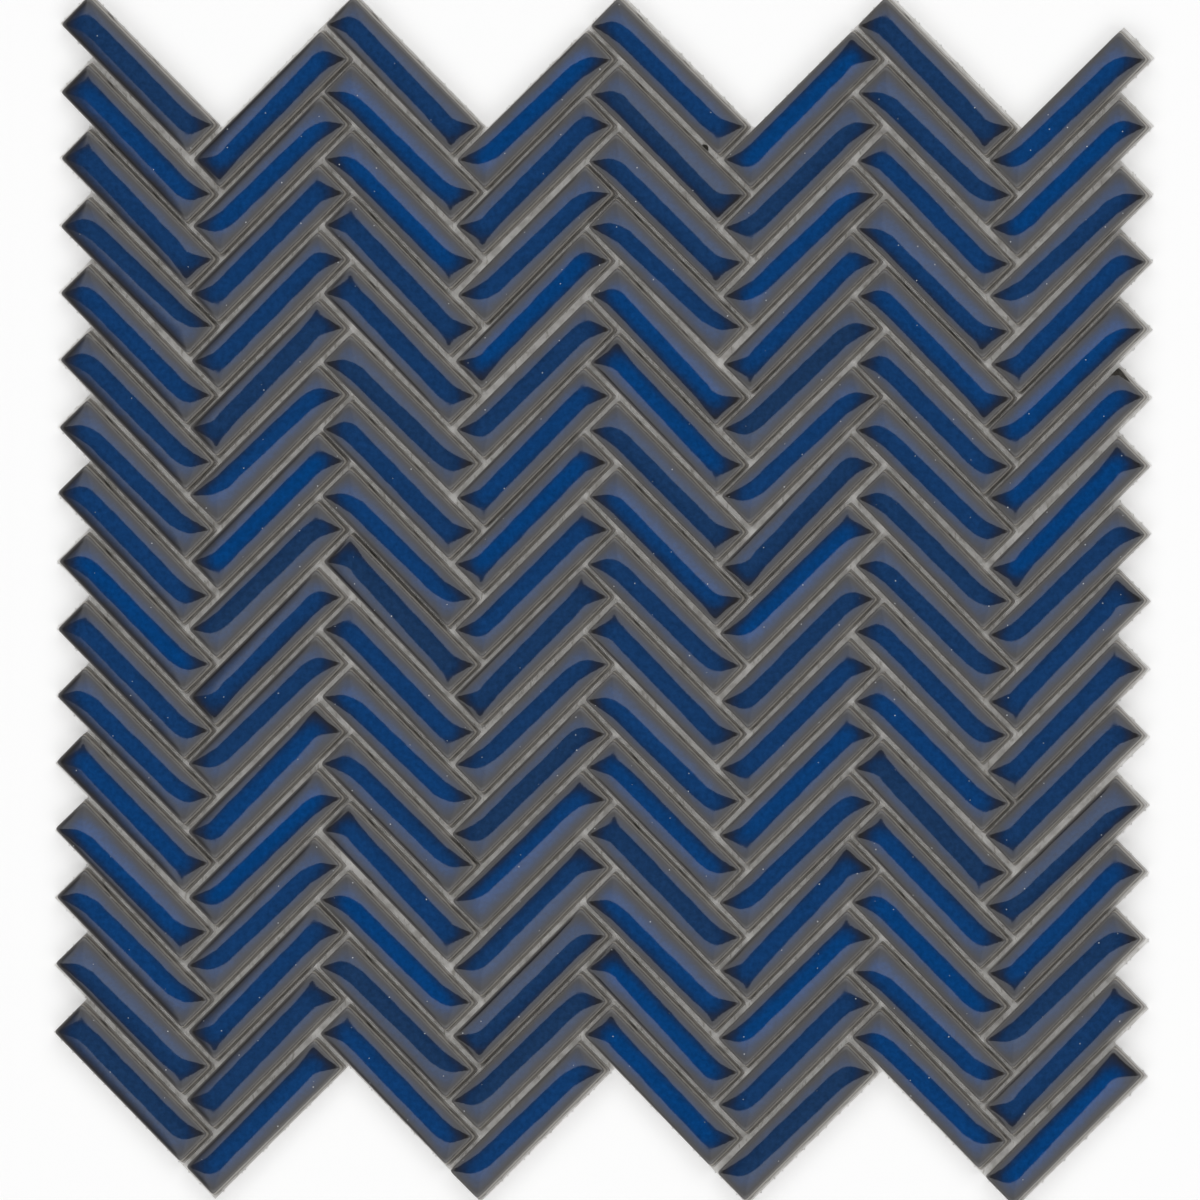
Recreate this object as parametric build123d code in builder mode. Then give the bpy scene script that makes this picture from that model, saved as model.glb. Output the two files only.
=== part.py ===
"""Herringbone mosaic sheet: glazed pillow-faced tiles set at 45 degrees on a thin backing.

The sheet lies on its back in the XY plane with its glazed faces up, +X to the right and +Y up the pattern.
The origin is on the back, in the middle of the sheet.
"""

import os
from math import radians, sqrt, tan

from build123d import *

# Driving dimensions, in millimetres and degrees
tile_width = 11.0  # across the back of a tile
tile_thickness = 6.0  # from the back to the top of the crown
joint = 1.05  # open joint between neighbouring tiles, measured at their backs
widths_per_length = 4  # a tile and its joint are as long as this many tiles and joints are wide
side_draft = 6.0  # lean of the pressed side walls
crown_radius = 12.5  # roundness of the face across the tile and towards its ends
arris_radius = 0.7  # rounding where the face turns into a side wall
backing_thickness = 0.4
rows = 16  # tiles in each column
column_pairs = 4  # a pair is a column that falls to the right and one that rises to the right

# The herringbone follows two steps, both along the tiles' own 45 degree directions
short_step = tile_width + joint
long_step = widths_per_length * short_step
tile_length = long_step - joint
falling_turn = -45
rising_turn = 45

# The outer box of the laid pattern, from the corner of the first tile
sheet_width = ((2 * column_pairs - 1) * long_step + tile_width + tile_length) / sqrt(2)
sheet_height = (2 * (rows - 1) * short_step + long_step + 2 * tile_width) / sqrt(2)


def on_sheet(along_falling, along_rising):
    """Turns a place measured along the two tile directions into X and Y on the sheet."""
    x = (along_falling + along_rising) / sqrt(2) - sheet_width / 2
    y = (along_rising - along_falling - tile_width) / sqrt(2) + sheet_height / 2
    return x, y


def first_corner(pair, row):
    """The left corner of a falling tile, along the falling and the rising direction."""
    return pair * long_step + row * short_step, pair * long_step - row * short_step


def falling_place(pair, row):
    """Where a falling tile is centred, and how it is turned."""
    u, v = first_corner(pair, row)
    x, y = on_sheet(u + tile_length / 2, v + tile_width / 2)
    return Location((x, y, 0), (0, 0, falling_turn))


def rising_place(pair, row):
    """Where the rising tile is centred that butts against the end of a falling one."""
    u, v = first_corner(pair, row)
    x, y = on_sheet(u + long_step + tile_width / 2, v + tile_length / 2)
    return Location((x, y, 0), (0, 0, rising_turn))


def sheet_outline():
    """Corners of the sheet: stepped along the tiles' ends at both sides, toothed at the bottom and the top."""
    last_row, last_pair = rows - 1, column_pairs - 1
    corners = []
    for row in range(rows):
        u, v = first_corner(0, row)
        corners += [(u, v + short_step), (u, v)]
    corners[0] = (0, tile_width)
    for pair in range(column_pairs):
        u, v = first_corner(pair, last_row)
        corners += [(u + long_step + tile_width, v)]
        corners += [(u + long_step + tile_width, v + long_step)] if pair < last_pair else []
    for row in reversed(range(rows)):
        u, v = first_corner(last_pair, row)
        end, side = v + tile_length, u + long_step + tile_width
        corners += [(side, end), (side - short_step, end)]
    u, v = first_corner(last_pair, 0)
    corners[-1] = (u + long_step, v + tile_length)
    for pair in reversed(range(column_pairs)):
        u, v = first_corner(pair, 0)
        corners += [(u + long_step, v + tile_width)]
        corners += [(u, v + tile_width)] if pair else []
    return [on_sheet(*corner) for corner in corners]


def crown_profile(size, flat):
    """A cross section: drafted walls under a round crown, its top flat over the given length, arrises rounded."""
    with BuildSketch(mode=Mode.PRIVATE) as profile:
        with BuildLine():
            lean = tile_thickness * tan(radians(side_draft))
            Polyline(
                (-size / 2, 0),
                (size / 2, 0),
                (size / 2 - lean, tile_thickness),
                (lean - size / 2, tile_thickness),
                close=True,
            )
        make_face()
        with Locations((0, tile_thickness - crown_radius)):
            if flat > 0:
                SlotCenterToCenter(flat, 2 * crown_radius, mode=Mode.INTERSECT)
            else:
                Circle(crown_radius, mode=Mode.INTERSECT)
        shoulders = profile.vertices().sort_by(Axis.Y)[2:4]
        fillet(shoulders, arris_radius)
    return profile.sketch


# One pressed tile, lying along X: its cross profile and its long profile crossed with each other
with BuildPart() as tile:
    with BuildSketch(Plane.YZ):
        add(crown_profile(tile_width, 0))
    extrude(amount=tile_length / 2, both=True)
    with BuildSketch(Plane.XZ):
        add(crown_profile(tile_length, tile_length - tile_width))
    extrude(amount=tile_width / 2, both=True, mode=Mode.INTERSECT)

# The backing, cut flush with the outer tiles and straight across the ends of the joints
with BuildPart() as backing_sheet:
    with BuildSketch():
        with BuildLine():
            Polyline(*sheet_outline(), close=True)
        make_face()
    extrude(amount=backing_thickness)


def tile_column(place, pair, name):
    """A column of like tiles, each glued down by its flat back."""
    with BuildPart(Plane.XY.offset(backing_thickness)) as column:
        with Locations(*[place(pair, row) for row in range(rows)]):
            add(tile.part)
    column.part.label = name
    return column.part


os.makedirs("parts", exist_ok=True)
backing_sheet.part.label = "backing_sheet"
export_step(backing_sheet.part, "parts/backing_sheet.step")
for pair in range(column_pairs):
    for offset, place in ((1, falling_place), (2, rising_place)):
        name = f"tile_column_{2 * pair + offset}"
        export_step(tile_column(place, pair, name), f"parts/{name}.step")
print("sheet", round(sheet_width, 1), "by", round(sheet_height, 1), "mm, tile length", round(tile_length, 2))
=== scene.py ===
# %% [markdown]
# A sheet of herringbone mosaic: 128 narrow porcelain tiles with a pillow-shaped face, glazed
# cobalt blue, stand in eight columns on a thin backing. The joints between them are open.
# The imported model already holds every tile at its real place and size. This lesson gives the
# tiles their soft corners, their glaze and their small faults, and the backing its finish.

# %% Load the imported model
from math import atan2, cos, pi, radians, sin, sqrt, tan
from random import Random

import bmesh
import bpy
from mathutils import Matrix, Vector


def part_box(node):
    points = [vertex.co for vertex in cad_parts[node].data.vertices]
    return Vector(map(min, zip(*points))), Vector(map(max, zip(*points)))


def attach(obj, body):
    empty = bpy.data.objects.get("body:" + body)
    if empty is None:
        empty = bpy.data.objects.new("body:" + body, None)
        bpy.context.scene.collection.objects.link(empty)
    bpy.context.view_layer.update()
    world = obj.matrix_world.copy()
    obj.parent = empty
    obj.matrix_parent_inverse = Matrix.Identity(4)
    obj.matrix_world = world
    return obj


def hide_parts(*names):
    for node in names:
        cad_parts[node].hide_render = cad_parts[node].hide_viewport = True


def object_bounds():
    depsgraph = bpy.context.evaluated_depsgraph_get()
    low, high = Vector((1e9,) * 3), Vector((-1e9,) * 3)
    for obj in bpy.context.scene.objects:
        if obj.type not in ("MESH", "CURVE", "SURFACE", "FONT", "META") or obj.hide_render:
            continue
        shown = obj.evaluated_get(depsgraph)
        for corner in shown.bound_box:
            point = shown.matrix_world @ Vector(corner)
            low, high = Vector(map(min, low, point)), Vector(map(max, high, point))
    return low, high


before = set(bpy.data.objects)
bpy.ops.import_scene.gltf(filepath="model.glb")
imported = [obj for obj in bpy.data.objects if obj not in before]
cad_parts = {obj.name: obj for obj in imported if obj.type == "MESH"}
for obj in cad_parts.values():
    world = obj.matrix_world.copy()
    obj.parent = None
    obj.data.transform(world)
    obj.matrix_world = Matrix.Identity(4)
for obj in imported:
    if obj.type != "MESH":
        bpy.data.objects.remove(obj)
cad_low, cad_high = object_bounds()
print("nodes", sorted(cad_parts))

# %% [markdown]
# The tiles repeat on a lattice, so their sizes can be read off the boxes of two columns. A
# column is one tile wide at 45 degrees, and the third column stands one long step, a tile's
# length and a joint, further along than the first in both tile directions.

# %% Sizes of a tile and of the lattice
MM = 0.001
rows = 16
column_low, column_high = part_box("tile_column_1")
column_width = column_high.x - column_low.x
row_step = (column_high.y - column_low.y - column_width) / (rows - 1)
pair_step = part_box("tile_column_3")[0].x - column_low.x
short_step = row_step / sqrt(2)
long_step = pair_step / sqrt(2)
joint = (short_step + long_step - column_width * sqrt(2)) / 2
tile_width = short_step - joint
tile_length = long_step - joint
tile_bed = column_low.z
tile_thickness = column_high.z - column_low.z
print("tile", [round(size / MM, 2) for size in (tile_length, tile_width, tile_thickness)], "mm")
print("joint", round(joint / MM, 2), "mm, backing", round(tile_bed / MM, 2), "mm")

# %% [markdown]
# A pressed tile has side walls that lean in a little, so that it leaves its mould, a round
# crown, and a small round arris between the two. One cross section says all of that. It is
# kept as points from the foot of the wall to the ridge: how far out the point is from the long
# centre line, how high it is, and how far it is along the surface from where the arris starts.
# That last number, the run, later tells the glaze where it is thin. The crown stays a hair
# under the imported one, which leaves room for tiles that lean.

# %% The cross section of a tile
crown_radius = 12.5 * MM
arris_radius = 0.7 * MM
side_draft = radians(6)
clearance = 0.05 * MM
half_width = tile_width / 2
crown_top = tile_thickness - clearance
crown_centre = crown_top - crown_radius


def arris_centre():
    """The middle of the arris circle, which touches both the leaning wall and the crown."""
    inner = half_width - arris_radius / cos(side_draft)
    slope = tan(side_draft)
    stretch = 1 + slope ** 2
    middle = inner * slope + crown_centre
    rest = inner ** 2 + crown_centre ** 2 - (crown_radius - arris_radius) ** 2
    height = (middle + sqrt(middle ** 2 - stretch * rest)) / stretch
    return inner - height * slope, height


def tile_section(arris_steps, crown_steps):
    """Points (reach, height, run) from the foot of the wall to the ridge of the crown."""
    out, up = arris_centre()
    turn = atan2(up - crown_centre, out)
    points = [(half_width, 0.0)]
    for step in range(arris_steps + 1):
        angle = side_draft + (turn - side_draft) * step / arris_steps
        points.append((out + arris_radius * cos(angle), up + arris_radius * sin(angle)))
    for step in range(1, crown_steps + 1):
        angle = turn + (pi / 2 - turn) * step / crown_steps
        points.append((crown_radius * cos(angle), crown_centre + crown_radius * sin(angle)))
    lengths = [0.0]
    for (a, b), (c, d) in zip(points, points[1:]):
        lengths.append(lengths[-1] + sqrt((c - a) ** 2 + (d - b) ** 2))
    wall = lengths[1]
    return [(reach, height, length - wall) for (reach, height), length in zip(points, lengths)]


section = tile_section(arris_steps=4, crown_steps=6)
print("wall", round(section[1][1] / MM, 2), "mm high")
print("run to the ridge", round(section[-1][2] / MM, 2), "mm")

# %% [markdown]
# Seen from above, the level lines of the face are rectangles with small corners at the rim,
# and they turn rounder the higher they lie, until the top is a bar with round ends. The
# glaze mirrors the lamps along these lines, so they decide the curl at the ends of each
# highlight. A superellipse does this with one exponent: large is square, two is a circle.

# %% The rings of a tile
ring_angles = [0, 20, 34, 41, 45, 49, 56, 70, 90]
bar_half = (tile_length - tile_width) / 2
end_ease = 3.5 * MM
ridge_exponent = 2
outline_exponent = 28
exponent_rise = 7


def squareness(reach):
    """Exponent of the level line at this distance from the centre line."""
    rise = (reach / half_width) ** exponent_rise
    return ridge_exponent + (outline_exponent - ridge_exponent) * rise


def corner_point(reach, degrees):
    """A point of one quarter of a level line, along and across the tile."""
    ahead = round(cos(radians(degrees)), 9)
    aside = round(sin(radians(degrees)), 9)
    power = squareness(reach)
    scale = reach / (ahead ** power + aside ** power) ** (1 / power)
    end = half_width + end_ease
    eased = end * (ahead * scale / half_width) ** (half_width / end)
    return bar_half - end_ease + eased, aside * scale


def level_line(reach):
    """One closed ring, counter-clockwise from the middle of the far end."""
    quarter = [corner_point(reach, degrees) for degrees in ring_angles]
    ring = list(quarter)
    ring += [(-along, across) for along, across in reversed(quarter)]
    ring += [(-along, -across) for along, across in quarter[1:]]
    ring += [(along, -across) for along, across in reversed(quarter[1:])]
    return ring


outline_ring = level_line(half_width)
ring_count = len(outline_ring)
print("points in a ring", ring_count)

# %% [markdown]
# The rings are joined by quads into one closed tile, flat at the back. The last ring closes on
# the ridge, a single edge, whose two ends are the last two points: one half of the ring closes
# on its right end, the other half on its left end.

# %% The points and faces of a tile
rings = len(section) - 1
ridge_ends = (rings * ring_count, rings * ring_count + 1)


def tile_points():
    """Every point of a tile as (along, across, height, run), ring by ring, then the ridge."""
    points = []
    for reach, height, run in section[:-1]:
        points += [(along, across, height, run) for along, across in level_line(reach)]
    ridge_half = bar_half - end_ease
    ridge_height, ridge_run = section[-1][1:]
    points.append((ridge_half, 0, ridge_height, ridge_run))
    points.append((-ridge_half, 0, ridge_height, ridge_run))
    return points


def tile_faces():
    """Quads from ring to ring, quads and triangles up to the ridge, and last the flat back."""
    half = len(ring_angles)
    top = (rings - 1) * ring_count
    around = [(here, (here + 1) % ring_count) for here in range(ring_count)]
    faces = []
    for ring in range(rings - 1):
        low, high = ring * ring_count, (ring + 1) * ring_count
        faces += [(low + here, low + after, high + after, high + here) for here, after in around]
    for here, after in around:
        first, second = [ridge_ends[half <= place < 3 * half - 1] for place in (here, after)]
        corners = (top + here, top + after, second)
        faces.append(corners if first == second else corners + (first,))
    faces.append(tuple(reversed(range(ring_count))))
    return faces


print("points of a tile", len(tile_points()))
print("faces of a tile", len(tile_faces()))

# %% [markdown]
# Each point keeps four numbers as attributes: its run, its height, and its place across and
# along the tile. The way round the tile's rim goes into a UV map together with the run,
# because the marks on the side walls follow the rim. The edge at the foot is sharp.

# %% One tile as a mesh
def set_floats(mesh, name, values):
    """Stores one number for each point of the mesh."""
    mesh.attributes.new(name, "FLOAT", "POINT").data.foreach_set("value", values)


def map_the_rim(mesh, runs):
    """Lays the way round the rim and the run of each point into a UV map."""
    way = [0.0]
    for start, end in zip(outline_ring, outline_ring[1:] + outline_ring[:1]):
        way.append(way[-1] + sqrt((end[0] - start[0]) ** 2 + (end[1] - start[1]) ** 2))
    rim_map = mesh.uv_layers.new(name="RimMap").data
    for face in mesh.polygons[:-1]:
        first = face.vertices[0] % ring_count
        for loop in face.loop_indices:
            point = mesh.loops[loop].vertex_index
            place = point % ring_count if point < ridge_ends[0] else first
            if place == 0 and first == ring_count - 1:
                place = ring_count
            rim_map[loop].uv = (way[place], runs[point])


def tile_mesh():
    """A closed tile lying along X with its back at zero."""
    points = tile_points()
    alongs, acrosses, heights, runs = zip(*points)
    mesh = bpy.data.meshes.new("pressed_tile")
    mesh.from_pydata([point[:3] for point in points], [], tile_faces())
    mesh.shade_smooth()
    set_floats(mesh, "run", runs)
    set_floats(mesh, "height", heights)
    set_floats(mesh, "across", acrosses)
    set_floats(mesh, "along", alongs)
    map_the_rim(mesh, runs)
    foot = mesh.attributes.new("sharp_edge", "BOOLEAN", "EDGE").data
    for edge in mesh.edges:
        foot[edge.index].value = max(edge.vertices) < ring_count
    mesh.validate()
    return mesh


pressed_tile = tile_mesh()
print("attributes of the tile", [attribute.name for attribute in pressed_tile.attributes])

# %% [markdown]
# A node tree can be built by hand in Blender's editor or in a script. In a script a few small
# helpers keep it readable: one adds a node, one feeds its inputs, and the others make the
# short chains that come back again and again.

# %% Helpers for node trees
def add_node(tree, kind, **settings):
    """Adds a node with its settings."""
    node = tree.nodes.new(kind)
    for name, value in settings.items():
        setattr(node, name, value)
    return node


def feed(tree, node, **inputs):
    """Gives inputs, by name or as i and a number, a value or the output of another node."""
    for name, value in inputs.items():
        numbered = name[0] == "i" and name[1:].isdigit()
        socket = node.inputs[int(name[1:]) if numbered else name.replace("_", " ")]
        if isinstance(value, bpy.types.NodeSocket):
            tree.links.new(value, socket)
        else:
            socket.default_value = value
    return node


def math_node(tree, operation, *values):
    """The result of one sum."""
    node = add_node(tree, "ShaderNodeMath", operation=operation)
    feed(tree, node, **{f"i{place}": value for place, value in enumerate(values)})
    return node.outputs[0]


def vector_of(tree, **parts):
    """A vector of up to three parts. A part that isn't given is zero."""
    return feed(tree, add_node(tree, "ShaderNodeCombineXYZ"), **parts).outputs[0]


# %% Helpers for Geometry Nodes
def start_tree(title, result, **kinds):
    """A new tree, the outputs of its named inputs, and the identifier of each input."""
    tree = bpy.data.node_groups.new(title, "GeometryNodeTree")
    sockets = tree.interface
    sockets.new_socket(result, in_out="OUTPUT", socket_type="NodeSocketGeometry")
    identifiers = {}
    for name, kind in kinds.items():
        label = name.replace("_", " ")
        socket = sockets.new_socket(label, in_out="INPUT", socket_type="NodeSocket" + kind)
        identifiers[name] = socket.identifier
    return tree, add_node(tree, "NodeGroupInput").outputs, identifiers


def stored_on_points(tree, name):
    """A number that an attribute holds."""
    node = add_node(tree, "GeometryNodeInputNamedAttribute", data_type="FLOAT")
    return feed(tree, node, Name=name).outputs[0]


def shifted(tree, geometry, offset):
    """The geometry with each point moved by its own offset."""
    node = add_node(tree, "GeometryNodeSetPosition")
    return feed(tree, node, Geometry=geometry, Offset=offset).outputs[0]


def end_tree(tree, geometry, finish):
    """Gives the geometry its finish and sends it out."""
    node = add_node(tree, "GeometryNodeSetMaterial")
    dressed = feed(tree, node, Geometry=geometry, Material=finish).outputs[0]
    tree.links.new(dressed, add_node(tree, "NodeGroupOutput").inputs[0])
    print("nodes in", repr(tree.name), len(tree.nodes))


# %% [markdown]
# A column is laid by Geometry Nodes: a line of points one row step apart, a tile on each point,
# and small seeded differences between the tiles. No two tiles of a real sheet lie quite alike.
# Each is a little off its place and its angle, and leans on its glue, so that the lamps in its
# crown sit nearer to one side. A real tile is also slightly warped, so it leans one way at one
# end and the other way at the other. Most lean a little and a few lean a lot: the chance, a
# number between -1 and 1, is multiplied by a share that grows with its own fourth power.

# %% A tree that lays a column: a tile on each point
laying, given, laying_inputs = start_tree(
    "Lay a column", "Column",
    Tile="Geometry", Tiles="Int", First_tile="Vector", Row_step="Vector", Turn="Float",
    Stray="Float", Twist="Float", Lean_spread="Float", Warp_spread="Float", Seed="Int",
    Finish="Material",
)
line = add_node(laying, "GeometryNodeMeshLine", mode="OFFSET")
feed(laying, line, Count=given["Tiles"], Start_Location=given["First tile"])
feed(laying, line, Offset=given["Row step"])


def random_between(low, high, seed_step):
    """A seeded number for each tile, a step of the seed apart from the other draws."""
    draw = add_node(laying, "FunctionNodeRandomValue", data_type="FLOAT")
    seed = math_node(laying, "ADD", given["Seed"], seed_step)
    return feed(laying, draw, i2=low, i3=high, Seed=seed).outputs[1]


def either_way(most, seed_step):
    """A seeded number between minus and plus this input of the tree."""
    return random_between(math_node(laying, "MULTIPLY", most, -1.0), most, seed_step)


stray = vector_of(laying, X=either_way(given["Stray"], 1), Y=either_way(given["Stray"], 2))
turn = math_node(laying, "ADD", given["Turn"], either_way(given["Twist"], 3))
rotation = add_node(laying, "FunctionNodeEulerToRotation")
feed(laying, rotation, Euler=vector_of(laying, Z=turn))
placed = add_node(laying, "GeometryNodeInstanceOnPoints")
feed(laying, placed, Points=shifted(laying, line.outputs[0], stray), Instance=given["Tile"])
feed(laying, placed, Rotation=rotation.outputs[0])

# %% The draws of each tile, stored on it
least_lean = 0.2
chance = random_between(-1.0, 1.0, 4)
rare = math_node(laying, "POWER", chance, 4.0)
lean_share = math_node(laying, "MULTIPLY_ADD", rare, 1 - least_lean, least_lean)
lean = math_node(laying, "MULTIPLY", chance, lean_share)
draws = {
    "lean": math_node(laying, "MULTIPLY", lean, given["Lean spread"]),
    "tone": random_between(0.0, 1.0, 5),
    "warp": either_way(given["Warp spread"], 6),
}
column = placed.outputs[0]
for name, value in draws.items():
    store = add_node(
        laying, "GeometryNodeStoreNamedAttribute", data_type="FLOAT", domain="INSTANCE",
    )
    column = feed(laying, store, Geometry=column, Name=name, Value=value).outputs[0]
realized = feed(laying, add_node(laying, "GeometryNodeRealizeInstances"), Geometry=column)
print("draws", list(draws))

# %% [markdown]
# Instances become real points before the lean, because each point moves by its own amount. The
# foot stays flat on the backing and the lift grows with the height. A crown that leans would
# also rise a little, so it settles by the lean squared times half its radius.

# %% The lean of each tile
height_share = math_node(
    laying, "DIVIDE", stored_on_points(laying, "height"), tile_thickness,
)
way_to_end = math_node(laying, "DIVIDE", stored_on_points(laying, "along"), tile_length / 2)
warp = math_node(laying, "MULTIPLY", stored_on_points(laying, "warp"), way_to_end)
local_lean = math_node(laying, "ADD", stored_on_points(laying, "lean"), warp)
tilt = math_node(laying, "MULTIPLY", local_lean, stored_on_points(laying, "across"))
lean_squared = math_node(laying, "MULTIPLY", local_lean, local_lean)
settle = math_node(laying, "MULTIPLY", lean_squared, crown_radius / 2)
lift = math_node(laying, "SUBTRACT", tilt, settle)
lift = math_node(laying, "MULTIPLY", height_share, lift)
leant = shifted(laying, realized.outputs[0], vector_of(laying, Z=lift))
end_tree(laying, leant, given["Finish"])

# %% [markdown]
# A finish is a node tree too. Its patterns read the place on the piece, the rim map or the
# numbers that the points carry, so they stay with the tile from any side.

# %% Helpers for finishes
def start_finish(name):
    """A new material, its tree, its shader, and the place on the piece."""
    material = bpy.data.materials.new(name)
    material.use_nodes = True
    tree = material.node_tree
    place = add_node(tree, "ShaderNodeTexCoord").outputs["Object"]
    return material, tree, tree.nodes["Principled BSDF"], place


def stored_number(tree, name):
    """A number that the piece's points carry."""
    return add_node(tree, "ShaderNodeAttribute", attribute_name=name).outputs["Fac"]


def stretched(tree, place, scale):
    """The place with a scale along each axis: a small one draws a pattern out."""
    node = add_node(tree, "ShaderNodeMapping")
    return feed(tree, node, Vector=place, Scale=scale).outputs[0]


def noise(tree, place, scale, detail=2.0, roughness=0.5):
    """Cloudy noise between 0 and 1, with features of one over the scale."""
    node = add_node(tree, "ShaderNodeTexNoise")
    feed(tree, node, Vector=place, Scale=scale, Detail=detail, Roughness=roughness)
    return node.outputs["Fac"]


# %% Helpers for colours and bumps
def ramp(tree, value, none_at, full_at, smooth=True):
    """Goes from 0 to 1 between two values, of which either may be the larger."""
    kind = "SMOOTHSTEP" if smooth else "LINEAR"
    node = add_node(tree, "ShaderNodeMapRange", interpolation_type=kind)
    return feed(tree, node, Value=value, From_Min=none_at, From_Max=full_at).outputs["Result"]


def spread(tree, value, low, high):
    """Stretches 0 to 1 into low to high."""
    node = add_node(tree, "ShaderNodeMapRange")
    return feed(tree, node, Value=value, To_Min=low, To_Max=high).outputs["Result"]


def blend(tree, share, first, second):
    """Mixes two colours, the second one by its share."""
    node = add_node(tree, "ShaderNodeMix", data_type="RGBA")
    return feed(tree, node, i0=share, i6=first, i7=second).outputs[2]


def toned(tree, colour, amount):
    """A colour made darker or lighter, by an amount around one."""
    node = add_node(tree, "ShaderNodeMix", data_type="RGBA", blend_type="MULTIPLY")
    return feed(tree, node, i0=1.0, i6=colour, i7=amount).outputs[2]


def bumps(tree, height, depth, **under):
    """Bumps of this depth, on top of the Normal of other bumps."""
    node = add_node(tree, "ShaderNodeBump")
    return feed(tree, node, Height=height, Distance=depth, Strength=1.0, **under).outputs[0]


# %% [markdown]
# The glaze is cobalt blue where it lies thick, and thins towards the rim, where the dark body
# shows through. A few things make it look fired and not painted: the blue is mottled, each tile
# came out of the kiln a little lighter or darker, and the edges of the colours drift. The run,
# the distance from where the arris starts, says how thick the glaze is.

# %% The colour of the glaze
COBALT_LIGHT = (0.0020, 0.050, 0.194, 1)
COBALT_DULL = (0.0125, 0.040, 0.108, 1)
COBALT_THIN = (0.0085, 0.031, 0.0920, 1)
RIM_DARK = (0.0250, 0.0225, 0.0210, 1)
THIN_GLAZE_AND_PAINTED_LIGHT = (0.125, 0.121, 0.120, 1)

porcelain, glaze, porcelain_shader, on_tile = start_finish("cobalt_glaze_on_porcelain")
run = stored_number(glaze, "run")
drift = spread(glaze, noise(glaze, on_tile, scale=160.0), low=-0.7 * MM, high=0.7 * MM)
depth_run = math_node(glaze, "ADD", run, drift)
shallow = ramp(glaze, depth_run, none_at=0.6 * MM, full_at=3.2 * MM)
deep = ramp(glaze, depth_run, none_at=2.0 * MM, full_at=4.8 * MM)
full_cobalt = blend(glaze, stored_number(glaze, "tone"), COBALT_DULL, COBALT_LIGHT)
cobalt = blend(glaze, deep, COBALT_THIN, full_cobalt)
mottle = noise(glaze, on_tile, scale=900.0, detail=4.0, roughness=0.65)
mottle = ramp(glaze, mottle, none_at=0.25, full_at=0.75, smooth=False)
mottled = toned(glaze, cobalt, spread(glaze, mottle, low=0.72, high=1.28))
# Over the arris the colour turns a lighter grey: the thinning glaze, and painted light that lifts
# the dark line along the arris.
thin_glaze_and_light = ramp(glaze, run, none_at=1.1 * MM, full_at=0.35 * MM)
rim_colour = blend(glaze, thin_glaze_and_light, RIM_DARK, THIN_GLAZE_AND_PAINTED_LIGHT)
clear_glaze = blend(glaze, shallow, rim_colour, mottled)
print("nodes in the glaze so far", len(glaze.nodes))

# %% [markdown]
# The glaze carries a few pale specks, dust that was fired in. A Voronoi pattern divides the
# face into cells, each with a random colour. Its first part decides whether the cell has a
# speck in its middle at all, and its second part how large that is.

# %% Specks in the glaze
SPECK_PALE = (0.55, 0.57, 0.60, 1)
speck_cells_a_metre = 210.0
speckless_share = 0.86
speck_strength = 0.85

cells = add_node(glaze, "ShaderNodeTexVoronoi", voronoi_dimensions="2D")
feed(glaze, cells, Vector=on_tile, Scale=speck_cells_a_metre)
cell_parts = add_node(glaze, "ShaderNodeSeparateColor")
feed(glaze, cell_parts, Color=cells.outputs["Color"])
has_speck = math_node(glaze, "GREATER_THAN", cell_parts.outputs[0], speckless_share)
speck_size = spread(glaze, cell_parts.outputs[1], low=0.012, high=0.034)
in_middle = math_node(glaze, "LESS_THAN", cells.outputs["Distance"], speck_size)
speck = math_node(glaze, "MULTIPLY", has_speck, in_middle)
speck_share = math_node(glaze, "MULTIPLY", speck, speck_strength)
glaze_colour = blend(glaze, speck_share, clear_glaze, SPECK_PALE)
print("nodes in the glaze so far", len(glaze.nodes))

# %% [markdown]
# Below the arris the glaze stops, and the side wall is bare: rough, warm grey, streaked along
# the rim, and paler towards its foot, partly from glue smeared there and partly as painted light
# that lifts the shade at the bottom of the joints. Two lines run round every wall, a light one
# under the edge of the glaze and a brown one lower down, and both wander.
# Dark olive blotches of painted shade, standing in for the shade in small gaps between wall
# and film, lie along the second. Each line is a share that fades out on both sides.

# %% The bare side wall
BODY_GREY = (0.335, 0.316, 0.288, 1)
GLUE_AND_PAINTED_LIGHT = (0.545, 0.53, 0.51, 1)
LIP_PALE = (0.50, 0.48, 0.445, 1)
BODY_BROWN = (0.17, 0.15, 0.125, 1)
GAP_SHADE_OLIVE = (0.050, 0.047, 0.036, 1)

foot_run = -section[1][1]
on_rim = add_node(glaze, "ShaderNodeUVMap", uv_map="RimMap").outputs[0]
wander = spread(glaze, noise(glaze, on_rim, scale=150.0), low=-0.5 * MM, high=0.5 * MM)
wall_run = math_node(glaze, "ADD", run, wander)


def wall_line(way_down, half, strength):
    """The share of a line that runs round the wall, this far of the way down to its foot."""
    away = math_node(glaze, "SUBTRACT", wall_run, way_down * foot_run)
    away = math_node(glaze, "ABSOLUTE", away)
    return math_node(glaze, "MULTIPLY", ramp(glaze, away, none_at=half, full_at=0.0), strength)


# Towards the foot the wall turns paler: glue smeared there, and painted light that lifts the shade
# at the bottom of the joint.
glue_and_painted_light = ramp(glaze, wall_run, none_at=0.35 * foot_run, full_at=0.68 * foot_run)
body = blend(glaze, glue_and_painted_light, BODY_GREY, GLUE_AND_PAINTED_LIGHT)
lip = wall_line(way_down=0.17, half=0.65 * MM, strength=0.75)
body = blend(glaze, lip, body, LIP_PALE)
groove = wall_line(way_down=0.46, half=1.1 * MM, strength=0.6)
body = blend(glaze, groove, body, BODY_BROWN)
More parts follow.
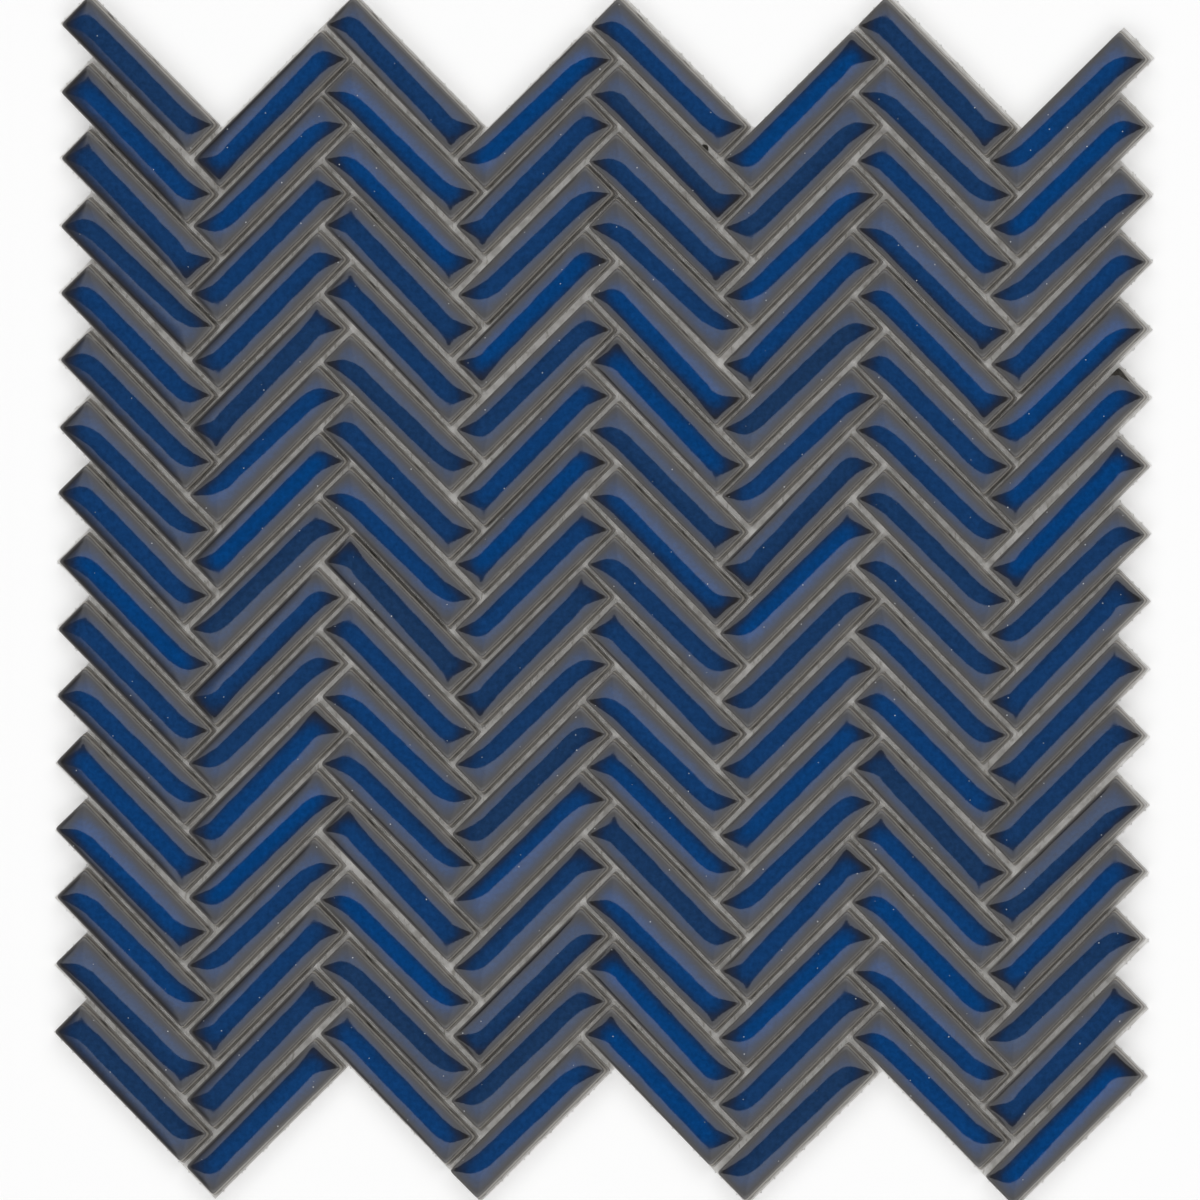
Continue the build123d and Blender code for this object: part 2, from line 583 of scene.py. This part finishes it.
# Dark olive blotches near the foot: painted shade of small gaps between wall and film.
painted_gap_shade = stretched(glaze, on_rim, (0.45, 1.0, 1.0))
painted_gap_shade = noise(glaze, painted_gap_shade, scale=430.0, detail=2.0, roughness=0.55)
painted_gap_shade = ramp(glaze, painted_gap_shade, none_at=0.55, full_at=0.645)
painted_gap_shade = wall_line(way_down=0.56, half=1.7 * MM, strength=painted_gap_shade)
body = blend(glaze, painted_gap_shade, body, GAP_SHADE_OLIVE)
streaks = stretched(glaze, on_rim, (0.12, 1.0, 1.0))
streaks = noise(glaze, streaks, scale=4000.0, detail=3.0, roughness=0.6)
streaked_body = toned(glaze, body, spread(glaze, streaks, low=0.65, high=1.35))
print("nodes in the glaze so far", len(glaze.nodes))

# %% [markdown]
# The glaze ends in an uneven line just under the arris. Above it the surface is glossy and
# faintly wavy, below it rough and streaked. Three layers of bumps say so: broad waves, a very
# fine orange peel, and the streaks of the bare wall.

# %% The finish of a tile
drip = spread(glaze, noise(glaze, on_tile, scale=420.0), low=-0.35 * MM, high=0.35 * MM)
bare = ramp(glaze, math_node(glaze, "ADD", run, drip), none_at=0.3 * MM, full_at=0.0)
waves = noise(glaze, on_tile, scale=130.0, detail=1.0)
waves = bumps(glaze, waves, depth=0.06 * MM)
peel = noise(glaze, on_tile, scale=1100.0, detail=1.0)
peel = bumps(glaze, peel, depth=0.0016 * MM, Normal=waves)
bare_streaks = math_node(glaze, "MULTIPLY", streaks, bare)
tile_bumps = bumps(glaze, bare_streaks, depth=0.12 * MM, Normal=peel)
tile_colour = blend(glaze, bare, glaze_colour, streaked_body)
tile_gloss = spread(glaze, bare, low=0.07, high=0.8)
feed(glaze, porcelain_shader, Base_Color=tile_colour, Roughness=tile_gloss)
feed(glaze, porcelain_shader, IOR=1.58, Normal=tile_bumps)
print("nodes in the finish of a tile", len(glaze.nodes))

# %% [markdown]
# A tree works on a piece as a modifier. Its inputs are set by their identifiers before the
# piece is first evaluated. The result is then copied out as a plain mesh and the modifier is
# removed, so that the piece is an ordinary object that any other program can read.

# %% Helpers for pieces
def new_piece(name, data):
    """An object in the scene, at the origin."""
    piece = bpy.data.objects.new(name, data)
    bpy.context.scene.collection.objects.link(piece)
    return piece


def dress(mesh, finish):
    """Gives a mesh one finish all over."""
    mesh.materials.clear()
    mesh.materials.append(finish)
    mesh.polygons.foreach_set("material_index", [0] * len(mesh.polygons))


def make_plain(piece, tree, identifiers, **values):
    """Runs a tree on a piece and keeps the result as the piece's own mesh."""
    modifier = piece.modifiers.new(tree.name, "NODES")
    modifier.node_group = tree
    for name, value in values.items():
        modifier[identifiers[name]] = value
    graph = bpy.context.evaluated_depsgraph_get()
    mesh = bpy.data.meshes.new_from_object(piece.evaluated_get(graph), depsgraph=graph)
    piece.modifiers.clear()
    piece.data = mesh
    mesh.name = piece.name
    dress(mesh, values["Finish"])


def triangles(mesh):
    """How many triangles a mesh comes to."""
    return sum(len(face.vertices) - 2 for face in mesh.polygons)


# %% [markdown]
# Now the eight columns. Odd columns fall to the right, even ones rise, and each has its first
# tile at the top. The places come from the columns' own boxes. They are drawn in by a third of
# a percent towards the middle, so that no tile that strays outwards leaves the sheet's outline.

# %% Lay the eight columns
drawn_in = 0.9968
most_stray = 0.3 * MM
most_twist = radians(0.5)
lean_spread = 0.16
warp_spread = 0.11
seeds_a_column = 10


def lay_column(number):
    """One column of tiles as a plain mesh that stands for its CAD node."""
    low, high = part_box(f"tile_column_{number}")
    middle = (low.x + high.x) / 2
    first = Vector((middle * drawn_in, (high.y - column_width / 2) * drawn_in, tile_bed))
    piece = new_piece(f"glazed_tiles_{number}", pressed_tile)
    make_plain(
        piece, laying, laying_inputs,
        Tiles=rows, First_tile=first, Row_step=(0, -row_step * drawn_in, 0),
        Turn=radians(-45 if number % 2 else 45), Stray=most_stray, Twist=most_twist,
        Lean_spread=lean_spread, Warp_spread=warp_spread, Seed=seeds_a_column * number,
        Finish=porcelain,
    )
    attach(piece, "root")
    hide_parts(f"tile_column_{number}")
    return piece


columns = [lay_column(number) for number in range(1, 9)]
print("triangles in a column", triangles(columns[0].data))

# %% [markdown]
# One tile of the last column, the sixth from the top, has lost the upper corner of its outer
# end. The brown inside of the tile that shows there has a coarse grain and no gloss.

# %% The broken porcelain
CHIP_BROWN = (0.030, 0.026, 0.020, 1)
CHIP_PALE = (0.085, 0.076, 0.062, 1)
broken, chip_tree, chip_shader, on_chip = start_finish("broken_porcelain")
grains = noise(chip_tree, on_chip, scale=2600.0, detail=4.0, roughness=0.65)
pale_grains = ramp(chip_tree, grains, none_at=0.45, full_at=0.75)
chip_colour = blend(chip_tree, pale_grains, CHIP_BROWN, CHIP_PALE)
chip_bumps = bumps(chip_tree, grains, depth=0.15 * MM)
feed(chip_tree, chip_shader, Base_Color=chip_colour, Roughness=0.75, Normal=chip_bumps)
print("nodes in the broken porcelain", len(chip_tree.nodes))

# %% [markdown]
# Two slanting planes cut the corner off, a short one at the corner and a long thin one along
# the end. Each plane goes through three points, given by how far they lie from the corner along
# the side, along the end and downwards.

# %% Planes that cut a tile
chipped_tile = 5
breaks = [
    {"along_side": 1.9 * MM, "along_end": 1.5 * MM, "depth": 1.9 * MM},
    {"along_side": 0.75 * MM, "along_end": 3.9 * MM, "depth": 1.5 * MM},
]
along = Vector((1, 1, 0)).normalized()
aside = Vector((-1, 1, 0)).normalized()


def slant_of(size, corner):
    """A point of the plane on the tile's end, and the plane's outward direction."""
    on_end = corner - aside * size["along_end"]
    on_side = corner - along * size["along_side"]
    below = corner - Vector((0, 0, size["depth"]))
    slant = (on_side - on_end).cross(below - on_end).normalized()
    if slant.dot(corner - on_end) < 0:
        slant.negate()
    return on_end, slant


print("planes", len(breaks))

# %% [markdown]
# The corner is found from the highest point of the tile's foot on the sheet, a step inwards
# and a wall's height up. The bisect tool cuts the tile at each plane, and a flat face of the
# second material closes each hole.

# %% Cut the corner off
foot_band = 1 * MM


def cut_off(mesh, pieces, on_end, slant):
    """Cuts a tile off at a plane, closes the hole, and returns what is left of the tile."""
    cut = bmesh.ops.bisect_plane(
        mesh, geom=pieces, plane_co=on_end, plane_no=slant, clear_outer=True,
    )
    rim = [item for item in cut["geom_cut"] if isinstance(item, bmesh.types.BMEdge)]
    closed = bmesh.ops.edgeloop_fill(mesh, edges=rim)["faces"]
    for face in closed:
        face.material_index = 1
        face.smooth = False
        face.normal_update()
        if face.normal.dot(slant) < 0:
            face.normal_flip()
    return cut["geom"] + closed


def cut_corner(mesh):
    """Cuts the upper corner off the outer end of one tile. Returns the faces of the cuts."""
    mesh.faces.ensure_lookup_table()
    per_tile = len(mesh.faces) // rows
    faces = mesh.faces[chipped_tile * per_tile:(chipped_tile + 1) * per_tile]
    points = {point for face in faces for point in face.verts}
    edges = {edge for face in faces for edge in face.edges}
    feet = [point.co for point in points if point.co.z < tile_bed + foot_band]
    foot = max(feet, key=lambda place: place.y)
    corner = foot - (along + aside) * (half_width - section[2][0])
    corner.z = tile_bed + section[2][1]
    pieces = [*points, *edges, *faces]
    for size in breaks:
        pieces = cut_off(mesh, pieces, *slant_of(size, corner))
    return [face for face in mesh.faces if face.material_index == 1]


chipped = columns[-1].data
chipped.materials.append(broken)
chip_mesh = bmesh.new()
chip_mesh.from_mesh(chipped)
cuts = cut_corner(chip_mesh)
print("areas of the cuts", [round(face.calc_area() / MM ** 2, 1) for face in cuts], "square mm")

# %% [markdown]
# Porcelain breaks in a shallow hollow, so each face is poked to a point that lies a little
# deeper, and the parts once more, each by its own seeded depth.

# %% Roughen the break
hollow_share = 0.15
most_roughness = 0.4
chip_seed = 6


def roughen(mesh, cuts):
    """Turns each flat cut into a rough hollow and returns its faces."""
    chance = Random(chip_seed)
    shards = []
    for face in cuts:
        hollow = hollow_share * sqrt(face.calc_area())
        for part in bmesh.ops.poke(mesh, faces=[face], offset=-hollow)["faces"]:
            depth = chance.uniform(-most_roughness, most_roughness) * hollow
            shards += bmesh.ops.poke(mesh, faces=[part], offset=depth)["faces"]
    return shards


shards = roughen(chip_mesh, cuts)
open_edges = sum(edge.is_boundary for edge in chip_mesh.edges)
chip_mesh.to_mesh(chipped)
chip_mesh.free()
print("faces of the break", len(shards), "open edges", open_edges)

# %% [markdown]
# The backing of such a sheet is a net of glass threads, a scrim, held in a thin film of white
# glue. From the front only the film shows at the bottom of the joints. The film is a merged
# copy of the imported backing. Its underside is raised a little, so that the threads stand out
# of it at the back. The edges of its underside are kept as the outline for the threads.

# %% The glue film
film_under = 0.09 * MM
merge_distance = 0.001 * MM
film_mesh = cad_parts["backing_sheet"].data.copy()
film_mesh.name = "glue_film"
merging = bmesh.new()
merging.from_mesh(film_mesh)
bmesh.ops.remove_doubles(merging, verts=merging.verts, dist=merge_distance)
outline = []
for edge in merging.edges:
    start, end = [point.co.copy() for point in edge.verts]
    at_a_wall = any(abs(face.normal.z) < 0.5 for face in edge.link_faces)
    if max(start.z, end.z) < film_under and at_a_wall:
        outline.append((start, end))
for point in merging.verts:
    point.co.z = max(point.co.z, film_under)
merging.to_mesh(film_mesh)
merging.free()
film = new_piece("glue_film", film_mesh)
print("edges of the outline", len(outline))

# %% [markdown]
# The film is light grey, smudged with dirt, with fine creases across the joints. The creases
# are the places where a stretched noise is low, and there the film is painted a darker brown as
# painted shade. At one place near the top a dark spot lies in a joint, and the same noise makes
# its edge uneven.

# %% The finish of the film
FILM_DIRTY = (0.60, 0.585, 0.56, 1)
FILM_CLEAN = (0.86, 0.85, 0.83, 1)
CREASE_SHADE_BROWN = (0.36, 0.335, 0.29, 1)
SPOT_DARK = (0.045, 0.040, 0.030, 1)
crease_shade_strength = 0.55
spot_place = (25.7 * MM, 113.5 * MM, tile_bed)

film_finish, film_tree, film_shader, on_film = start_finish("dried_glue_film")
clean = noise(film_tree, on_film, scale=300.0, detail=4.0, roughness=0.6)
clean = ramp(film_tree, clean, none_at=0.3, full_at=0.62)
film_colour = blend(film_tree, clean, FILM_DIRTY, FILM_CLEAN)
crease = stretched(film_tree, on_film, (1.0, 0.3, 1.0))
crease = noise(film_tree, crease, scale=1300.0, detail=3.0, roughness=0.6)
# Where the noise is low, the film turns a darker brown: painted shade in the creases.
crease_shade_share = ramp(film_tree, crease, none_at=0.42, full_at=0.34)
crease_shade_share = math_node(film_tree, "MULTIPLY", crease_shade_share, crease_shade_strength)
film_colour = blend(film_tree, crease_shade_share, film_colour, CREASE_SHADE_BROWN)
from_spot = add_node(film_tree, "ShaderNodeVectorMath", operation="DISTANCE")
feed(film_tree, from_spot, i0=on_film, i1=spot_place)
uneven = spread(film_tree, crease, low=-0.4 * MM, high=0.4 * MM)
spot_edge = math_node(film_tree, "ADD", from_spot.outputs["Value"], uneven)
spot_share = ramp(film_tree, spot_edge, none_at=1.1 * MM, full_at=0.85 * MM)
film_colour = blend(film_tree, spot_share, film_colour, SPOT_DARK)
film_bumps = bumps(film_tree, crease, depth=0.14 * MM)
feed(film_tree, film_shader, Base_Color=film_colour, Roughness=0.6, Normal=film_bumps)
dress(film_mesh, film_finish)
print("nodes in the film's finish", len(film_tree.nodes))

# %% [markdown]
# The scrim's threads run across and up the sheet and are cut off at its stepped outline. For
# each thread the places where its line crosses the outline are sorted. Between the first and
# the second it is inside, between the second and the third outside, and so on. A small shift
# keeps the threads clear of the outline's corners, where crossings are hard to count.

# %% Where the threads of the scrim run
thread_step = 5.5 * MM
thread_shift = 0.11 * MM
shortest_stretch = 2 * MM


def inside_stretches(axis, place):
    """Start and end of each stretch of a straight thread that lies inside the outline."""
    crossings = []
    for start, end in outline:
        if (start[axis] - place) * (end[axis] - place) < 0:
            share = (place - start[axis]) / (end[axis] - start[axis])
            crossings.append(start[1 - axis] + (end[1 - axis] - start[1 - axis]) * share)
    crossings.sort()
    pairs = zip(crossings[::2], crossings[1::2])
    return [(start, end) for start, end in pairs if end - start > shortest_stretch]


thread_points = []
thread_edges = []
thread_runs_up = []
for axis in (0, 1):
    number_of_threads = 2 * int((cad_high[axis] - cad_low[axis]) / thread_step / 2)
    for number in range(number_of_threads):
        place = (number + 0.5 - number_of_threads / 2) * thread_step + thread_shift
        for stretch in inside_stretches(axis, place):
            thread_edges.append((len(thread_points), len(thread_points) + 1))
            for end in stretch:
                thread_points.append((place, end, 0) if axis == 0 else (end, place, 0))
                thread_runs_up.append(1 - axis)
thread_lines = bpy.data.meshes.new("thread_lines")
thread_lines.from_pydata(thread_points, thread_edges, [])
set_floats(thread_lines, "runs_up", thread_runs_up)
print("stretches of thread", len(thread_edges))

# %% [markdown]
# Geometry Nodes turn the lines into flat threads. Each line becomes a curve with a point every
# half step. The product of a wave across the sheet and a wave up the sheet lifts and lowers the
# points, so that a thread goes over one neighbour and under the next, and the threads the other
# way have the opposite sign. A flattened ring of six corners, swept along each curve, makes the
# strand.

# %% A tree that weaves the scrim
weaving, woven, weaving_inputs = start_tree(
    "Weave the scrim", "Scrim",
    Lines="Geometry", Step="Float", Strand="Float", Flatness="Float", Weave="Float",
    Middle="Float", Finish="Material",
)
curves = feed(weaving, add_node(weaving, "GeometryNodeMeshToCurve"), Mesh=woven["Lines"])
half_step = math_node(weaving, "MULTIPLY", woven["Step"], 0.5)
fine_curves = add_node(weaving, "GeometryNodeResampleCurve", mode="LENGTH")
feed(weaving, fine_curves, Curve=curves.outputs[0], Length=half_step)
where = add_node(weaving, "GeometryNodeInputPosition").outputs[0]
where = feed(weaving, add_node(weaving, "ShaderNodeSeparateXYZ"), Vector=where).outputs


def wave_along(letter):
    """A sine wave along X or Y, with its zeros one thread step apart."""
    steps = math_node(weaving, "DIVIDE", where[letter], woven["Step"])
    return math_node(weaving, "SINE", math_node(weaving, "MULTIPLY", steps, pi))


weave = math_node(weaving, "MULTIPLY", wave_along("X"), wave_along("Y"))
sign = math_node(weaving, "MULTIPLY_ADD", stored_on_points(weaving, "runs_up"), 2.0, -1.0)
weave = math_node(weaving, "MULTIPLY", weave, sign)
height = math_node(weaving, "MULTIPLY_ADD", weave, woven["Weave"], woven["Middle"])
wavy = shifted(weaving, fine_curves.outputs[0], vector_of(weaving, Z=height))
level = add_node(weaving, "GeometryNodeSetCurveNormal", mode="Z_UP")
feed(weaving, level, Curve=wavy)
strand = add_node(weaving, "GeometryNodeCurvePrimitiveCircle")
feed(weaving, strand, Resolution=6, Radius=woven["Strand"])
flat = add_node(weaving, "GeometryNodeTransform")
feed(weaving, flat, Geometry=strand.outputs[0])
feed(weaving, flat, Scale=vector_of(weaving, X=1.0, Y=woven["Flatness"], Z=1.0))
swept = add_node(weaving, "GeometryNodeCurveToMesh")
feed(weaving, swept, Curve=level.outputs[0], Profile_Curve=flat.outputs[0], Fill_Caps=True)
whole = feed(weaving, add_node(weaving, "GeometryNodeRealizeInstances"), Geometry=swept.outputs[0])
end_tree(weaving, whole.outputs[0], woven["Finish"])

# %% [markdown]
# A glass thread is a bundle of filaments in clear resin, so it is white with fine grey lines
# along it. The noise is drawn out along X or along Y, whichever way the thread runs.

# %% The resin-coated threads
THREAD_GREY = (0.46, 0.46, 0.44, 1)
THREAD_WHITE = (0.82, 0.82, 0.80, 1)
threads, thread_tree, thread_shader, on_thread = start_finish("coated_glass_thread")
along_thread = add_node(thread_tree, "ShaderNodeMix", data_type="VECTOR")
feed(
    thread_tree, along_thread, i0=stored_number(thread_tree, "runs_up"),
    i4=stretched(thread_tree, on_thread, (0.04, 1.0, 1.0)),
    i5=stretched(thread_tree, on_thread, (1.0, 0.04, 1.0)),
)
filaments = noise(thread_tree, along_thread.outputs[1], scale=7000.0, roughness=0.6)
white_share = ramp(thread_tree, filaments, none_at=0.35, full_at=0.6)
thread_colour = blend(thread_tree, white_share, THREAD_GREY, THREAD_WHITE)
thread_bumps = bumps(thread_tree, filaments, depth=0.05 * MM)
feed(thread_tree, thread_shader, Base_Color=thread_colour, Roughness=0.45, Normal=thread_bumps)
print("nodes in the threads' finish", len(thread_tree.nodes))

# %% [markdown]
# The scrim lies under the film, its lowest strands a hair above the floor and its highest ones
# up in the glue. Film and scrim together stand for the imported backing.

# %% Weave it
strand_half_width = 0.45 * MM
strand_half_height = 0.045 * MM
weave_height = 0.035 * MM
scrim = new_piece("glass_scrim", thread_lines)
make_plain(
    scrim, weaving, weaving_inputs,
    Step=thread_step, Strand=strand_half_width,
    Flatness=strand_half_height / strand_half_width,
    Weave=weave_height, Middle=weave_height + strand_half_height, Finish=threads,
)
for piece in (film, scrim):
    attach(piece, "root")
    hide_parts("backing_sheet")
depths = [point.co.z / MM for point in scrim.data.vertices]
print("triangles in the scrim", triangles(scrim.data))
print("scrim lies between", round(min(depths), 3), "and", round(max(depths), 3), "mm")

# %% [markdown]
# The sheet lies on a plain pale floor in a studio. A glaze this glossy shows whatever is round
# it, so the studio is made of few, large and plain things. They are objects too, but none of
# them is attached to the sheet's body.

# %% Helpers for the studio
def plain_material(name, colour):
    """A matt material of one colour for what isn't part of the object."""
    material = bpy.data.materials.new(name)
    material.use_nodes = True
    tree = material.node_tree
    shader = tree.nodes["Principled BSDF"]
    feed(tree, shader, Base_Color=colour, Roughness=1.0, Specular_IOR_Level=0.0)
    return material


def level_corners(half, height):
    """A level square, seen from above."""
    near = [(-half, -half, height), (half, -half, height)]
    return near + [(half, half, height), (-half, half, height)]


def upright_corners(x, half, height):
    """An upright panel on the floor, at one place along X."""
    return [(x, -half, 0), (x, half, 0), (x, half, height), (x, -half, height)]


def staged_panel(name, corners, material):
    """A four-sided panel for the studio."""
    mesh = bpy.data.meshes.new(name)
    mesh.from_pydata(corners, [], [(0, 1, 2, 3)])
    mesh.materials.append(material)
    panel = new_piece(name, mesh)
    return panel


# %% [markdown]
# The floor is pale, and what the camera sees of it is lifted a little, so that it comes out
# white and still keeps the sheet's soft shadow.

# %% The floor
floor_size = 60.0
floor_lift = 0.15
floor_finish = plain_material("pale_floor", (0.9, 0.9, 0.9, 1))
floor_tree = floor_finish.node_tree
seen = add_node(floor_tree, "ShaderNodeLightPath").outputs["Is Camera Ray"]
feed(
    floor_tree, floor_tree.nodes["Principled BSDF"], Emission_Color=(1, 1, 1, 1),
    Emission_Strength=math_node(floor_tree, "MULTIPLY", seen, floor_lift),
)
staged_panel("floor", level_corners(floor_size / 2, 0), floor_finish)
print("floor", floor_size, "m wide")

# %% [markdown]
# Four softboxes hang overhead, two towards the top of the sheet and two towards the bottom,
# with a dark gap between them. The gap is what leaves a deep blue stripe along the middle of
# every tile, and the softboxes make the pale bands beside it. The eastern ones are brighter.

# %% Softboxes
lamp_height = 6.0
gap_half = 0.262 * lamp_height
lamp_reach = 1.7 * lamp_height
lamp_half_length = 1.1 * lamp_height
lamp_depth = lamp_reach - gap_half
west_radiance = 1.23
east_radiance = 1.44

for side in (-1, 1):
    for east, radiance in ((-1, west_radiance), (1, east_radiance)):
        lamp_data = bpy.data.lights.new("softbox", "AREA")
        lamp_data.shape = "RECTANGLE"
        lamp_data.size = lamp_half_length
        lamp_data.size_y = lamp_depth
        lamp_data.energy = radiance * pi * lamp_data.size * lamp_data.size_y
        lamp = new_piece("softbox", lamp_data)
        lamp.location.x = east * lamp_half_length / 2
        lamp.location.y = side * (gap_half + lamp_depth / 2)
        lamp.location.z = lamp_height
        lamp.visible_camera = False
print("softboxes", round(lamp_half_length, 2), "m by", round(lamp_depth, 2), "m")

# %% [markdown]
# A dark ceiling behind the softboxes makes the gap dark, and dark screens stand at the gap's
# two ends. Only the gloss of the tiles sees them. A low black card beside the sheet's left edge
# darkens the sides of the tiles that face it. It grows clearer towards its top, so that its
# reflection has a soft edge.

# %% Screens and card
SCREEN_BLACK = (0.006, 0.006, 0.006, 1)
far = 3.2 * lamp_height
above = 1.03 * lamp_height
card_x = cad_low.x - 70 * MM
card_end = cad_high.y + 350 * MM
card_height = 210 * MM
card_solid = 100 * MM
card_strength = 0.86

screen_dark = plain_material("dark_screen", SCREEN_BLACK)
card_dark = plain_material("soft_edged_card", SCREEN_BLACK)
card_tree = card_dark.node_tree
on_card = add_node(card_tree, "ShaderNodeTexCoord").outputs["Object"]
card_parts = feed(card_tree, add_node(card_tree, "ShaderNodeSeparateXYZ"), Vector=on_card)
card_fade = ramp(card_tree, card_parts.outputs["Z"], none_at=card_height, full_at=card_solid)
card_fade = math_node(card_tree, "MULTIPLY", card_fade, card_strength)
feed(card_tree, card_tree.nodes["Principled BSDF"], Alpha=card_fade)
ceiling_corners = [(y, x, z) for x, y, z in level_corners(far, above)]
screens = [
    staged_panel("black_card", upright_corners(card_x, card_end, card_height), card_dark),
    staged_panel("ceiling_screen", ceiling_corners, screen_dark),
    staged_panel("west_screen", upright_corners(-far, far, above), screen_dark),
    staged_panel("east_screen", upright_corners(far, far, above), screen_dark),
]
for screen in screens:
    screen.visible_camera = False
    screen.visible_diffuse = False
    screen.visible_shadow = False
    screen.visible_transmission = False
print("screens", [screen.name for screen in screens])

# %% [markdown]
# The world gives a soft fill from all round. What the camera and the gloss see of it is white,
# the other rays meet a dimmer light, so that the object isn't washed out.

# %% World
fill_strength = 0.3
world = bpy.data.worlds.new("studio")
bpy.context.scene.world = world
world.use_nodes = True
sky = world.node_tree
sky.nodes.clear()
path = add_node(sky, "ShaderNodeLightPath").outputs
seen = math_node(sky, "MAXIMUM", path["Is Camera Ray"], path["Is Glossy Ray"])
seen = math_node(sky, "MAXIMUM", seen, path["Is Transmission Ray"])
fill = add_node(sky, "ShaderNodeBackground")
feed(sky, fill, Color=(1, 1, 1, 1), Strength=fill_strength)
white = add_node(sky, "ShaderNodeBackground")
feed(sky, white, Color=(1, 1, 1, 1), Strength=1.0)
either = add_node(sky, "ShaderNodeMixShader")
feed(sky, either, i0=seen, i1=fill.outputs[0], i2=white.outputs[0])
sky.links.new(either.outputs[0], add_node(sky, "ShaderNodeOutputWorld").inputs["Surface"])
print("fill", fill_strength)

# %% [markdown]
# The camera looks down through a long lens, so the sheet shows almost without perspective. It
# stands a little to the right, which is why the right-hand walls of the tiles show and the
# left-hand ones don't.

# %% Camera
camera_distance = 4.6
tilt_right = radians(9.2)
tilt_up = radians(-0.13)
roll = radians(-0.356)
pixels_per_metre = 3964
image_side = 1200
middle_pixel = Vector((601.4, 598.1))

back = Vector((tan(tilt_right), tan(tilt_up), 1)).normalized()
right = Vector((0, 1, 0)).cross(back).normalized()
up = back.cross(right)
right, up = right * cos(roll) - up * sin(roll), right * sin(roll) + up * cos(roll)
lens = bpy.data.cameras.new("long_lens")
lens.sensor_width = 36.0
lens.lens = lens.sensor_width * camera_distance * pixels_per_metre / image_side
lens.clip_end = 100.0
off_middle = (Vector((image_side / 2, image_side / 2)) - middle_pixel) / pixels_per_metre
camera = new_piece("camera", lens)
camera.matrix_world = Matrix((right, up, back)).transposed().to_4x4()
camera.location = back * camera_distance + right * off_middle.x - up * off_middle.y
bpy.context.scene.camera = camera
bpy.context.scene.view_settings.view_transform = "Standard"
print("lens", round(lens.lens), "mm")
